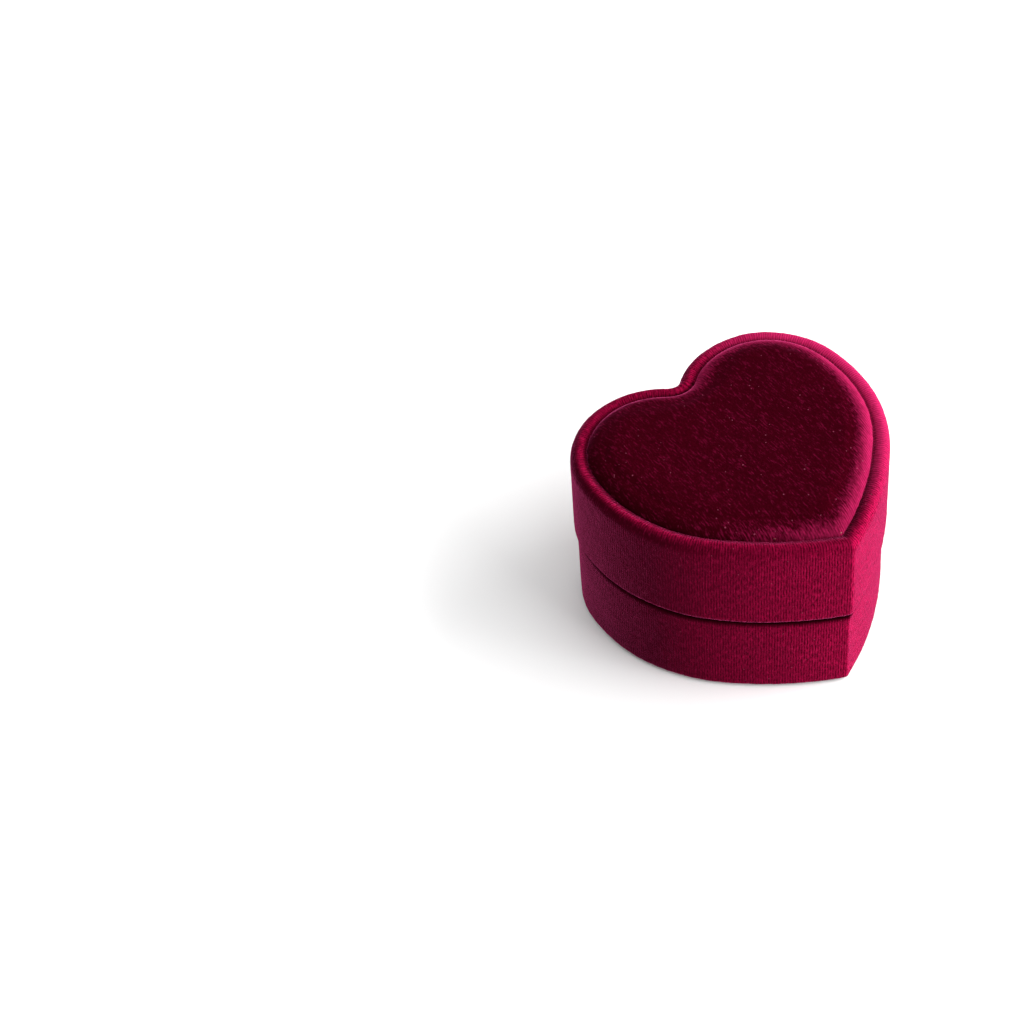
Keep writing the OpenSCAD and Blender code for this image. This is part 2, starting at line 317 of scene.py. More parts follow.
def rounded_profile(corners, step, closed=True):
    """Points of a section with corners (inset, height, radius), each turned into an arc."""
    points = [Vector((inset, height)) for inset, height, _ in corners]
    last = len(points) - 1
    path = []
    for i, (point, (_, _, radius)) in enumerate(zip(points, corners)):
        if not closed and i in (0, last):
            path.append([point])
            continue
        back = points[i - 1] - point
        ahead = points[(i + 1) % len(points)] - point
        half_angle = back.angle(ahead) / 2
        reach = min(radius / math.tan(half_angle), 0.49 * min(back.length, ahead.length))
        radius = reach * math.tan(half_angle)
        back.normalize()
        ahead.normalize()
        centre = point + (back + ahead).normalized() * (radius / math.sin(half_angle))
        pieces = max(2, math.ceil(radius * (math.pi - 2 * half_angle) / step))
        spokes = [point + back * reach - centre, point + ahead * reach - centre]
        path.append([centre + radius * spokes[0].slerp(spokes[1], k / pieces) for k in range(pieces + 1)])
    full = []
    for i, stretch in enumerate(path):
        full += stretch
        if closed or i < last:
            gap = path[(i + 1) % len(path)][0] - stretch[-1]
            pieces = math.ceil(gap.length / step)
            full += [stretch[-1] + gap * (k / pieces) for k in range(1, pieces)]
    return full


# Meshes


def smooth_faces(mesh):
    mesh.polygons.foreach_set("use_smooth", [True] * len(mesh.polygons))


def link(name, data):
    """A new object in the scene for a mesh, light or camera."""
    thing = bpy.data.objects.new(name, data)
    bpy.context.scene.collection.objects.link(thing)
    return thing


def loft(name, shape, profile, step, closed=True):
    """A solid that carries a section round the heart. An open section ends in two flat caps."""
    rings = [heart_outline(shape, p.x, step) for p in profile]
    n, m = len(rings[0]), len(profile)
    points = np.vstack([np.column_stack([ring, np.full(n, p.y)]) for ring, p in zip(rings, profile)])
    rows = m if closed else m - 1
    faces = [
        (j * n + i, j * n + (i + 1) % n, (j + 1) % m * n + (i + 1) % n, (j + 1) % m * n + i)
        for j in range(rows) for i in range(n)
    ]
    if not closed:
        faces += [tuple(range(n - 1, -1, -1)), tuple(range((m - 1) * n, m * n))]
    mesh = bpy.data.meshes.new(name)
    mesh.from_pydata(points.tolist(), [], faces)
    base = np.vstack([heart_outline(shape, 0, step), heart_outline(shape, 0, step)[:1]])
    along = np.concatenate([[0], np.cumsum(np.linalg.norm(np.diff(base, axis=0), axis=1))])
    across = np.concatenate([[0], np.cumsum([(b - a).length for a, b in zip(profile, profile[1:])])])
    across = np.append(across, across[-1] + (profile[0] - profile[-1]).length)
    weave = mesh.uv_layers.new(name=WEAVE_UV)
    loops = [
        (along[i + di], across[j + dj])
        for j in range(rows) for i in range(n) for di, dj in ((0, 0), (1, 0), (1, 1), (0, 1))
    ]
    loops += [(0.0, 0.0)] * (2 * n if not closed else 0)
    weave.data.foreach_set("uv", np.array(loops, np.float32).ravel())
    face_outward(mesh)
    smooth_faces(mesh)
    return link(name, mesh)


def face_outward(mesh):
    work = bmesh.new()
    work.from_mesh(mesh)
    bmesh.ops.recalc_face_normals(work, faces=work.faces)
    work.to_mesh(mesh)
    work.free()


def settle(piece):
    """Turns a piece's modifiers into its mesh."""
    depsgraph = bpy.context.evaluated_depsgraph_get()
    mesh = bpy.data.meshes.new_from_object(piece.evaluated_get(depsgraph))
    old = piece.data
    piece.modifiers.clear()
    piece.data = mesh
    bpy.data.meshes.remove(old)
    smooth_faces(mesh)
    return piece


def cut(piece, rooms):
    """Takes boxes, each (lowest corner, highest corner), out of a piece."""
    cutters = []
    for low, high in rooms:
        mesh = bpy.data.meshes.new("room")
        work = bmesh.new()
        bmesh.ops.create_cube(work, size=1)
        size = Vector(high) - Vector(low)
        bmesh.ops.transform(
            work, matrix=Matrix.Translation((Vector(low) + Vector(high)) / 2) @ Matrix.Diagonal((*size, 1)),
            verts=work.verts)
        work.to_mesh(mesh)
        work.free()
        cutter = link("room", mesh)
        boolean = piece.modifiers.new("room", "BOOLEAN")
        boolean.operation, boolean.solver, boolean.object = "DIFFERENCE", "EXACT", cutter
        cutters.append(cutter)
    settle(piece)
    for cutter in cutters:
        bpy.data.meshes.remove(cutter.data)
    return piece


def read_points(mesh):
    points = np.empty(len(mesh.vertices) * 3, np.float32)
    mesh.vertices.foreach_get("co", points)
    return points.reshape(-1, 3).astype(float)


def write_points(mesh, points):
    mesh.vertices.foreach_set("co", np.asarray(points, np.float32).ravel())
    mesh.update()


def read_normals(mesh):
    normals = np.empty(len(mesh.vertices) * 3, np.float32)
    mesh.vertex_normals.foreach_get("vector", normals)
    return normals.reshape(-1, 3).astype(float)


def uneven(piece, layers, seed):
    """Moves points along their normals by layers of soft noise, each (amount, size)."""
    points = read_points(piece.data)
    lift = np.zeros(len(points))
    for amount, size in layers:
        shift = Vector((seed, 2 * seed, 3 * seed))
        lift += amount * np.array([noise.noise(Vector(p) / size + shift) for p in points])
    write_points(piece.data, points + read_normals(piece.data) * lift[:, None])
    return piece


def remesh(piece, voxel, smoothing=6):
    """Rebuilds a piece from even quads, and rounds its edges a little."""
    scale_piece(piece, SIM_SCALE)
    voxels = piece.modifiers.new("even", "REMESH")
    voxels.mode, voxels.voxel_size = "VOXEL", voxel * SIM_SCALE
    if smoothing:
        smooth = piece.modifiers.new("soft", "SMOOTH")
        smooth.factor, smooth.iterations = 0.5, smoothing
    settle(piece)
    return scale_piece(piece, 1 / SIM_SCALE)


def scale_piece(piece, factor):
    write_points(piece.data, read_points(piece.data) * factor)
    return piece


def stuff(piece, held, cap, pressure=4.0):
    """Swells a pad as cloth under pressure, by up to cap, and never draws it in.

    held marks the points that are glued down.
    """
    start = read_points(piece.data)
    scale_piece(piece, SIM_SCALE)
    glued = piece.vertex_groups.new(name="glued")
    glued.add([int(i) for i in np.flatnonzero(held)], 1.0, "REPLACE")
    cloth = piece.modifiers.new("stuffing", "CLOTH")
    cloth.settings.use_pressure = True
    cloth.settings.uniform_pressure_force = pressure
    cloth.settings.effector_weights.gravity = 0
    cloth.settings.vertex_group_mass = "glued"
    cloth.settings.quality = 6
    cloth.collision_settings.use_collision = False
    scene = bpy.context.scene
    for step in range(1, SIM_FRAMES + 1):
        scene.frame_set(step)
    settle(piece)
    scale_piece(piece, 1 / SIM_SCALE)
    swollen = read_points(piece.data)
    write_points(piece.data, start)
    outward = read_normals(piece.data)
    rise = np.clip(((swollen - start) * outward).sum(1), 0, cap)
    write_points(piece.data, start + outward * rise[:, None])
    scene.frame_set(1)
    piece.vertex_groups.clear()
    return piece


def finer(piece):
    """Subdivides a piece once."""
    piece.modifiers.new("finer", "SUBSURF").levels = 1
    return settle(piece)


def dress(piece, material):
    """Gives a piece, or a carried-over CAD node, one material."""
    piece.data.materials.clear()
    piece.data.materials.append(material)
    return piece


def mount(piece, body, slot, *nodes):
    """A finished piece rides on its body and stands for CAD nodes, which it hides. slot is not used."""
    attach(piece, body)
    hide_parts(*nodes)
    return piece


# Materials


def add_node(tree, kind, inputs=None, **settings):
    """A shader node, with its settings, and its inputs given values or linked to sockets."""
    node = tree.nodes.new(kind)
    for name, value in settings.items():
        setattr(node, name, value)
    for key, value in (inputs or {}).items():
        if isinstance(value, bpy.types.NodeSocket):
            tree.links.new(value, node.inputs[key])
        else:
            node.inputs[key].default_value = value
    return node


def calculate(tree, operation, first, second=0.0):
    return add_node(tree, "ShaderNodeMath", {0: first, 1: second}, operation=operation).outputs[0]


def noise_at(tree, place, size, detail=2.0, roughness=0.5):
    """Soft noise whose blots are about size across."""
    inputs = {"Vector": place, "Scale": 1 / size, "Detail": detail, "Roughness": roughness}
    return add_node(tree, "ShaderNodeTexNoise", inputs).outputs["Fac"]


def stretch_place(tree, place, scale):
    """Coordinates scaled by a different amount along each axis."""
    return add_node(tree, "ShaderNodeMapping", {"Vector": place, "Scale": scale}).outputs[0]


def between(tree, value, low, high, new_low=0.0, new_high=1.0):
    """A value's range from low to high carried to a new range, and clamped to it."""
    inputs = {"Value": value, "From Min": low, "From Max": high, "To Min": new_low, "To Max": new_high}
    return add_node(tree, "ShaderNodeMapRange", inputs).outputs[0]


def mix_colours(tree, share, first, second):
    def four(value):
        return value if isinstance(value, bpy.types.NodeSocket) else (*value, 1.0)

    inputs = {0: share, 6: four(first), 7: four(second)}
    return add_node(tree, "ShaderNodeMix", inputs, data_type="RGBA").outputs[2]


def bump(tree, height, depth, strength=1.0):
    inputs = {"Height": height, "Distance": depth, "Strength": strength}
    return add_node(tree, "ShaderNodeBump", inputs).outputs[0]


def new_material(name, **sockets):
    """A material with one Principled shader. Names of sockets use _ for a space."""
    material = bpy.data.materials.new(name)
    material.use_nodes = True
    tree = material.node_tree
    shader = tree.nodes["Principled BSDF"]
    for key, value in sockets.items():
        shader.inputs[key.replace("_", " ")].default_value = value
    return material, tree, shader


def wire(tree, shader, colour, normal, roughness=None):
    """Links what varies over a surface to its shader."""
    tree.links.new(colour, shader.inputs["Base Color"])
    tree.links.new(normal, shader.inputs["Normal"])
    if roughness is not None:
        tree.links.new(roughness, shader.inputs["Roughness"])


def object_place(tree):
    return add_node(tree, "ShaderNodeTexCoord").outputs["Object"]


def scaled(colour, factor):
    return tuple(min(1.0, c * factor) for c in colour)


def velvet(name, pile_colour, colours, rows_at, painted_shade_factor=0.10, depth=0.10 * MM, lint=0.0, splay_and_sheen=None):
    """Short pile over rows of backing, with painted light where it faces right, towards the key light, and
    painted shade where it faces left or up.

    rows_at is "weave" for rows that stand up the wall, or "flat" for rows across a pad.
    splay_and_sheen is the colour of opened pile with painted sheen, over the lid's rim and a pad's edge.
    """
    material, tree, shader = new_material(
        name, Roughness=1.0, Specular_IOR_Level=0.0, Sheen_Weight=0.92,
        Sheen_Roughness=0.24, Sheen_Tint=(*colours.lustre, 1.0))
    place = object_place(tree)
    rows_place = place
    if rows_at == "weave":
        rows_place = add_node(tree, "ShaderNodeUVMap", uv_map=WEAVE_UV).outputs[0]
    pile = between(tree, noise_at(tree, place, 0.24 * MM, 3.0, 0.7), 0.34, 0.66)
    upright = noise_at(tree, stretch_place(tree, rows_place, (1, 0.2, 0.2)), 0.23 * MM, 3.0, 0.7)
    upright = between(tree, upright, 0.36, 0.64)
    tufts = noise_at(tree, place, 0.8 * MM, 2.0)
    bruises = between(tree, noise_at(tree, place, 4 * MM, 4.0, 0.7), 0.36, 0.64)
    split = add_node(tree, "ShaderNodeSeparateXYZ", {0: rows_place})
    along = calculate(tree, "MULTIPLY", split.outputs[0], 2 * math.pi / ROW_PITCH)
    wander = calculate(tree, "MULTIPLY", tufts, 3.0)
    rows = between(tree, calculate(tree, "SINE", calculate(tree, "ADD", along, wander)), -1.0, 1.0)
    share = calculate(tree, "ADD", calculate(tree, "MULTIPLY", pile, 0.34),
                      calculate(tree, "MULTIPLY", upright, 0.36))
    share = calculate(tree, "ADD", share, calculate(tree, "MULTIPLY", rows, 0.30))
    share = between(tree, share, 0.25, 0.75)
    if rows_at == "flat":
        share = between(tree, pile, 0.0, 1.0, 0.16, 0.84)
    colour = mix_colours(tree, share, scaled(pile_colour, 0.12), scaled(pile_colour, 1.95))
    bruised = calculate(tree, "MULTIPLY", bruises, 0.30)
    colour = mix_colours(tree, bruised, colour, scaled(pile_colour, 0.45))
    # Painted light and shade: surfaces facing the key light on the right are painted brighter, and surfaces
    # facing left or up are painted darker.
    facing = add_node(tree, "ShaderNodeTexCoord").outputs["Normal"]
    facing_painted_light = add_node(tree, "ShaderNodeVectorMath", {0: facing, 1: PAINTED_LIGHT_FROM}, operation="DOT_PRODUCT")
    painted_shade = between(tree, facing_painted_light.outputs["Value"], -0.7, 0.45, 1.0, 0.18)
    colour = mix_colours(tree, painted_shade, colour, scaled(pile_colour, painted_shade_factor))
    # Opened pile with painted sheen: the marked rim and pad edge are painted pink, in streaks along the
    # rows.
    if splay_and_sheen:
        opened_pile_sheen = add_node(tree, "ShaderNodeAttribute", attribute_name=SPLAY_AND_SHEEN).outputs["Fac"]
        ragged = calculate(tree, "ADD", opened_pile_sheen, between(tree, upright, 0.0, 1.0, -0.16, 0.16))
        opened_pile_sheen = calculate(tree, "MULTIPLY", between(tree, ragged, 0.05, 0.95),
                           between(tree, rows, 0.0, 1.0, 0.55, 1.0))
        colour = mix_colours(tree, opened_pile_sheen, colour, splay_and_sheen)
    # Painted shade: the marked seam, the crease at the pad's foot and the foot's contact with the floor are
    # painted nearly black.
    if rows_at == "weave":
        painted_crease_shade = add_node(tree, "ShaderNodeAttribute", attribute_name=PAINTED_CREASE_SHADE).outputs["Fac"]
        colour = mix_colours(tree, painted_crease_shade, colour, scaled(pile_colour, 0.04))
    if lint:
        cells = add_node(tree, "ShaderNodeTexVoronoi", {"Vector": place, "Scale": 1 / (1.0 * MM)})
        chance = add_node(tree, "ShaderNodeSeparateXYZ", {0: cells.outputs["Color"]})
        size = between(tree, chance.outputs[0], 0.35, 1.0, 0.0, lint)
        speck = calculate(tree, "LESS_THAN", cells.outputs["Distance"], size)
        colour = mix_colours(tree, calculate(tree, "MULTIPLY", speck, 0.5), colour, tuple(colours.lint))
    wire(tree, shader, colour, bump(tree, share, depth, 0.6))
    return material


def satin(colours):
    material, tree, shader = new_material(
        "satin", Specular_IOR_Level=0.55, Anisotropic=0.6, Sheen_Weight=0.25, Sheen_Roughness=0.4)
    place = object_place(tree)
    threads = noise_at(tree, stretch_place(tree, place, (1, 9, 1)), 0.35 * MM, 2.0)
    cloud = noise_at(tree, place, 6 * MM, 2.0)
    base = tuple(colours.satin)
    colour = mix_colours(tree, between(tree, cloud, 0.3, 0.7), scaled(base, 0.88), base)
    colour = mix_colours(tree, calculate(tree, "MULTIPLY", threads, 0.25), colour, scaled(base, 0.7))
    wire(tree, shader, colour, bump(tree, threads, 0.03 * MM, 0.5),
         between(tree, threads, 0.3, 0.7, 0.26, 0.40))
    return material


def foam(colours):
    material, tree, shader = new_material("foam", Roughness=0.95, Specular_IOR_Level=0.2)
    place = object_place(tree)
    cells = add_node(tree, "ShaderNodeTexVoronoi", {"Vector": place, "Scale": 1 / (0.5 * MM)})
    depth = between(tree, cells.outputs["Distance"], 0.0, 0.6)
    base = tuple(colours.foam)
    colour = mix_colours(tree, depth, scaled(base, 0.6), base)
    wire(tree, shader, colour, bump(tree, depth, 0.15 * MM, 0.8))
    return material


def board(colours):
    material, tree, shader = new_material("board", Roughness=0.92, Specular_IOR_Level=0.25)
    place = object_place(tree)
    fibres = noise_at(tree, stretch_place(tree, place, (1, 5, 3)), 1.2 * MM, 4.0, 0.65)
    flecks = noise_at(tree, place, 0.4 * MM, 2.0)
    base = tuple(colours.board)
    colour = mix_colours(tree, between(tree, fibres, 0.3, 0.7), scaled(base, 0.75), scaled(base, 1.2))
    colour = mix_colours(tree, between(tree, flecks, 0.62, 0.72, 0.0, 0.6), colour, scaled(base, 0.35))
    wire(tree, shader, colour, bump(tree, fibres, 0.05 * MM, 0.5))
    return material


def moulded_plastic(colours):
    material, tree, shader = new_material("moulded_plastic", Specular_IOR_Level=0.45)
    place = object_place(tree)
    sparks = noise_at(tree, place, 0.22 * MM, 2.0, 0.6)
    flow = noise_at(tree, stretch_place(tree, place, (1, 1, 0.3)), 7 * MM, 2.0)
    base = tuple(colours.shell)
    colour = mix_colours(tree, flow, scaled(base, 0.85), scaled(base, 1.2))
    wire(tree, shader, colour, bump(tree, sparks, 0.02 * MM, 0.5),
         between(tree, sparks, 0.3, 0.7, 0.42, 0.58))
    return material


def grained_paper(colours):
    material, tree, shader = new_material("grained_paper", Specular_IOR_Level=0.4)
    place = object_place(tree)
    cells = add_node(tree, "ShaderNodeTexVoronoi", {"Vector": place, "Scale": 1 / (0.9 * MM)},
                     feature="DISTANCE_TO_EDGE")
    grain = between(tree, cells.outputs["Distance"], 0.0, 0.22)
    worn = noise_at(tree, place, 8 * MM, 3.0, 0.6)
    base = tuple(colours.foot_paper)
    colour = mix_colours(tree, grain, scaled(base, 0.5), scaled(base, 1.3))
    colour = mix_colours(tree, between(tree, worn, 0.55, 0.75, 0.0, 0.35), colour, scaled(base, 2.2))
    wire(tree, shader, colour, bump(tree, grain, 0.06 * MM, 0.7),
         between(tree, grain, 0.0, 1.0, 0.65, 0.48))
    return material


def rolled_metal(name, colour, stretch):
    """Sheet or wire with fine marks from rolling, and a little tarnish."""
    material, tree, shader = new_material(name, Metallic=1.0, Anisotropic=0.3)
    place = object_place(tree)
    marks = noise_at(tree, stretch_place(tree, place, stretch), 0.6 * MM, 3.0, 0.6)
    tarnish = noise_at(tree, place, 4 * MM, 2.0)
    base = tuple(colour)
    colour = mix_colours(tree, between(tree, tarnish, 0.4, 0.8, 0.0, 0.6), base, scaled(base, 0.72))
    wire(tree, shader, colour, bump(tree, marks, 0.01 * MM, 0.5),
         between(tree, marks, 0.3, 0.7, 0.20, 0.40))
    return material


# Rooms that the covers leave


def hinge_rooms(shape, body):
    """Boxes that a cover on that body leaves for the hinge's leaf and for the lug behind it."""
    low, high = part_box("hinge_base_leaf" if body == "base" else "hinge_lid_leaf")
    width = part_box("hinge_base_leaf")[1].x
    front = low.y - LUG_FRONT
    back = cleft_bottom(shape) - LUG_WALL
    if body == "base":
        lug = low.z - LUG_HEIGHT - LUG_GAP
        leaf_z, lug_z = (low.z - LEAF_CLEAR, high.z), (lug, high.z)
    else:
        lug = high.z + LUG_HEIGHT + LUG_GAP
        leaf_z, lug_z = (low.z - BEYOND, high.z), (low.z - BEYOND, lug)
    side = width + LEAF_CLEAR
    lug_side = LUG_WIDTH / 2 + LUG_GAP
    return [
        ((-side, front, leaf_z[0]), (side, high.y + BEYOND, leaf_z[1])),
        ((-lug_side, front, lug_z[0]), (lug_side, back, lug_z[1])),
    ]


def lug_room(grow=0.0):
    """Box round the block that the base's leaf is riveted to, full height."""
    low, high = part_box("hinge_base_leaf")
    side = LUG_WIDTH / 2 + 0.5 * MM + grow
    return (-side, low.y - LUG_FRONT - grow, -1 * MM), (side, high.y + BEYOND, high.z + BEYOND)


def slot_room(top, grow=0.0):
    """Box of the ring pad's slot."""
    middle = OUTLINE_BOX[1].y - SLOT_FROM_BACK
    side, half = SLOT_LENGTH / 2 + grow, SLOT_WIDTH / 2 + grow
    return (-side, middle - half, top - SLOT_DEPTH - grow), (side, middle + half, top + BEYOND)


# Pieces


class HEARTBOX_OT_base_velvet(bpy.types.Operator):
    """Wrap the base in velvet that turns over its rim and under its foot"""

    bl_idname = "heartbox.base_velvet"
    bl_label = "Base Velvet"

    def execute(self, context):
        shape, colours = context.scene.heartbox_shape, context.scene.heartbox_colours
        low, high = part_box("base_wrap")
        shell_low, shell_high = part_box("base_shell")
        outer, backing = shape.overhang, VELVET_T - BACKING_GAP
        inner = SHELL_INSET + BACKING_GAP
        under, rim = shell_low.z - BACKING_GAP, shell_high.z + BACKING_GAP
        corners = [
            (outer, low.z, shape.foot_round),
            (outer, high.z - 0.2 * MM, 1.5 * shape.seam_round),
            (LINING_INSET, high.z, 0.3 * MM),
            (LINING_INSET, high.z - TURNED_IN, TURN_R),
            (inner, high.z - TURNED_IN, TURN_R),
            (inner, rim, TURN_R),
            (backing, rim, TURN_R),
            (backing, under, TURN_R),
            (TURNED_UNDER, under, TURN_R),
            (TURNED_UNDER, low.z, TURN_R),
        ]
        profile = rounded_profile(corners, shape.step)
        piece = loft("base_velvet", shape, profile, shape.step)
        uneven(piece, WALL_DENTS, seed=3)
        cut(piece, hinge_rooms(shape, "base"))
        heights = read_points(piece.data)[:, 2]
        # Painted shade under the lid's overhang at the seam, and at the foot where it meets the floor.
        crease = np.clip((heights - high.z + 1.5 * MM) / (0.8 * MM), 0, 1)
        contact = np.clip((low.z + 0.7 * MM - heights) / (0.6 * MM), 0, 0.8)
        mark(piece, PAINTED_CREASE_SHADE, np.maximum(crease, contact))
        dress(piece, wall_velvet(colours))
        mount(piece, "base", "velvet", "base_wrap")
        declare_wrap(shape)
        return {"FINISHED"}


class HEARTBOX_OT_lid_velvet(bpy.types.Operator):
    """Wrap the lid in velvet that rolls over its top edge and turns in at the seam"""

    bl_idname = "heartbox.lid_velvet"
    bl_label = "Lid Velvet"

    def execute(self, context):
        shape, colours = context.scene.heartbox_shape, context.scene.heartbox_colours
        low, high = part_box("lid_wrap")
        shell_low, shell_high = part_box("lid_shell")
        backing, inner = VELVET_T - BACKING_GAP, SHELL_INSET + BACKING_GAP
        rim, top = shell_low.z - BACKING_GAP, shell_high.z + BACKING_GAP
        foot = high.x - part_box("top_cover")[1].x
        corners = [
            (0, low.z, 0.5 * shape.seam_round),
            (0, high.z - shape.rim_slope, shape.rim_round),
            (shape.rim_slope, high.z, shape.rim_round),
            (foot + 0.4 * MM, high.z - shape.rim_dip, 1.2 * MM),
            (foot + 1.6 * MM, top + 0.2 * MM, 0.2 * MM),
            (foot + 1.6 * MM, top, 0.02 * MM),
            (backing, top, TURN_R),
            (backing, rim, TURN_R),
            (inner, rim, TURN_R),
            (inner, low.z + TURNED_IN, TURN_R),
            (LINING_INSET, low.z + TURNED_IN, TURN_R),
            (LINING_INSET, low.z, 0.3 * MM),
        ]
        profile = rounded_profile(corners, shape.step)
        piece = loft("lid_velvet", shape, profile, shape.step)
        uneven(piece, WALL_DENTS, seed=11)
        cut(piece, hinge_rooms(shape, "lid"))
        points = read_points(piece.data)
        # Painted shade at the lid's lower edge by the seam, and in the crease at the foot of the pad.
        seam = np.clip((low.z + 0.4 * MM - points[:, 2]) / (0.3 * MM), 0, 1)
        above = np.clip((points[:, 2] - high.z + 2.4 * MM) / (1.2 * MM), 0, 1)
        to_pad = inset_of(points, shape, foot)
        crease = np.clip(1 - to_pad / (0.55 * MM), 0, 1) * above
        mark(piece, PAINTED_CREASE_SHADE, np.maximum(seam, crease))
        # Opened pile on the rim with painted sheen, painted brighter towards the right, where the key light
        # falls.
        mark(piece, SPLAY_AND_SHEEN, above * to_the_right(points, -0.25, 1.3))
        dress(piece, wall_velvet(colours))
        mount(piece, "lid", "velvet", "lid_wrap")
        declare_wrap(shape)
        return {"FINISHED"}


def mark(piece, name, values):
    """Keeps one number for each point of a piece, which its material reads by name."""
    data = piece.data.attributes.new(name, "FLOAT", "POINT").data
    data.foreach_set("value", np.asarray(values, np.float32))


def inset_of(points, shape, inset):
    """How far each point is, in plan, from the outline moved in by inset."""
    outline = heart_outline(shape, inset, 2 * shape.step)
    near = np.empty(len(points))
    for first in range(0, len(points), 8000):
        part = points[first:first + 8000, None, :2]
        near[first:first + 8000] = np.sqrt(((part - outline[None]) ** 2).sum(2)).min(1)
    return near


def to_the_right(points, middle, right):
    """How much painted sheen the opened pile gets at each point: middle on the heart's axis, and more on
    the right, where the key light falls.
    """
    return np.clip(middle + right * points[:, 0] / OUTLINE_BOX[1].x, 0, 1)


def wall_velvet(colours):
    return (bpy.data.materials.get("wall_velvet")
            or velvet("wall_velvet", tuple(colours.wall), colours, "weave", lint=0.10,
                      splay_and_sheen=tuple(colours.opened_pile_sheen)))


def top_velvet(colours):
    return velvet("top_velvet", tuple(colours.top), colours, "flat", painted_shade_factor=0.6,
                  depth=0.03 * MM, lint=0.13, splay_and_sheen=tuple(colours.opened_pile_sheen))


def declare_wrap(shape):
    """Works out the heart's outline, and does nothing with it.
    """
    outline = heart_outline(shape, 0, shape.step)


class HEARTBOX_OT_top_pad(bpy.types.Operator):
    """Stuff the raised velvet pad on the lid, with its foam core"""

    bl_idname = "heartbox.top_pad"
    bl_label = "Top Pad"

    def execute(self, context):
        shape, colours = context.scene.heartbox_shape, context.scene.heartbox_colours
        low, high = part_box("top_cover")
        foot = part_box("lid_wrap")[1].x - high.x
        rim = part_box("lid_wrap")[1].z
        edge = foot + 0.15 * MM
        top = rim + shape.pad_rise
        corners = [
            (edge, low.z, 0),
            (edge, top - shape.pad_slope, shape.pad_round),
            (edge + shape.pad_slope, top, shape.pad_round),
            (edge + 5 * MM, top + 0.25 * MM, 0),
        ]
        profile = rounded_profile(corners, shape.step, closed=False)
        piece = remesh(loft("top_pad", shape, profile, shape.step, closed=False), TOP_VOXEL, 2)
        points = read_points(piece.data)
        stuff(piece, points[:, 2] < low.z + 0.8 * MM, TOP_SWELL)
        finer(piece)
        uneven(piece, [(0.16 * MM, 11 * MM), *PAD_GRAIN], seed=5)
        self.paint_splay_and_sheen(piece, shape, edge)
        dress(piece, top_velvet(colours))
        mount(piece, "lid", "velvet", "top_cover")
        core_low, core_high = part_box("top_foam")
        core(context, "top_pad_core", "lid", "top_foam", foot + SKIN_T + 0.5 * MM,
             core_low.z, core_high.z - 0.2 * MM, 1.6 * MM)
        return {"FINISHED"}

    def paint_splay_and_sheen(self, piece, shape, edge):
        """Marks the opened pile with painted sheen: most at the pad's edge, and painted brighter on the
        right, where the key light falls.
        """
        points = read_points(piece.data)
        fade = np.clip(1 - inset_of(points, shape, edge) / SPLAY_AND_SHEEN_WIDTH, 0, 1) ** 1.3
        mark(piece, SPLAY_AND_SHEEN, fade * to_the_right(points, 0.45, 0.62))


def core(context, name, body, node, inset, glued, free, slope=0.0, rooms=()):
    """The foam inside a pad, from its glued face to its free one, whose edge slopes."""
    shape, colours = context.scene.heartbox_shape, context.scene.heartbox_colours
    profile = [Vector((inset, glued)), Vector((inset, free))]
    if slope:
        shoulder = free + slope * (0.6 if free < glued else -0.6)
        profile = [Vector((inset, glued)), Vector((inset, shoulder)), Vector((inset + slope, free))]
    piece = loft(name, shape, profile, 2 * shape.step, closed=False)
    if rooms:
        cut(piece, rooms)
    remesh(piece, CORE_VOXEL, 3)
    uneven(piece, [(0.06 * MM, 1.0 * MM)], seed=17)
    dress(piece, bpy.data.materials.get("foam") or foam(colours))
    mount(piece, body, "foam", node)
    return piece


class HEARTBOX_OT_ring_pad(bpy.types.Operator):
    """Stuff the slotted velvet pad in the base, with its foam core"""

    bl_idname = "heartbox.ring_pad"
    bl_label = "Ring Pad"

    def execute(self, context):
        shape, colours = context.scene.heartbox_shape, context.scene.heartbox_colours
        low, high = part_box("insert_cover")
        inset = PAD_INSET + PAD_CLEAR
        top = high.z - 0.3 * MM
        profile = [Vector((inset, low.z)), Vector((inset, top))]
        piece = loft("ring_pad", shape, profile, 2 * shape.step, closed=False)
        cut(piece, [lug_room(0.3 * MM), slot_room(top, 0.45 * MM)])
        remesh(piece, PAD_VOXEL, 3)
        points = read_points(piece.data)
        stuff(piece, points[:, 2] < low.z + GLUED_EDGE, RING_SWELL)
        finer(piece)
        uneven(piece, [(0.10 * MM, 8 * MM), *PAD_GRAIN], seed=7)
        dress(piece, inside_velvet(colours))
        mount(piece, "base", "velvet", "insert_cover")
        core_low, core_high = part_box("insert_foam")
        rooms = [lug_room(1.1 * MM), slot_room(top, 1.4 * MM)]
        core(context, "ring_pad_core", "base", "insert_foam", inset + 1.1 * MM,
             core_low.z + 0.2 * MM, core_high.z - 1.1 * MM, rooms=rooms)
        return {"FINISHED"}


def inside_velvet(colours):
    return (bpy.data.materials.get("inside_velvet")
            or velvet("inside_velvet", scaled(colours.wall, 0.5), colours, "flat", painted_shade_factor=0.6, lint=0.06))


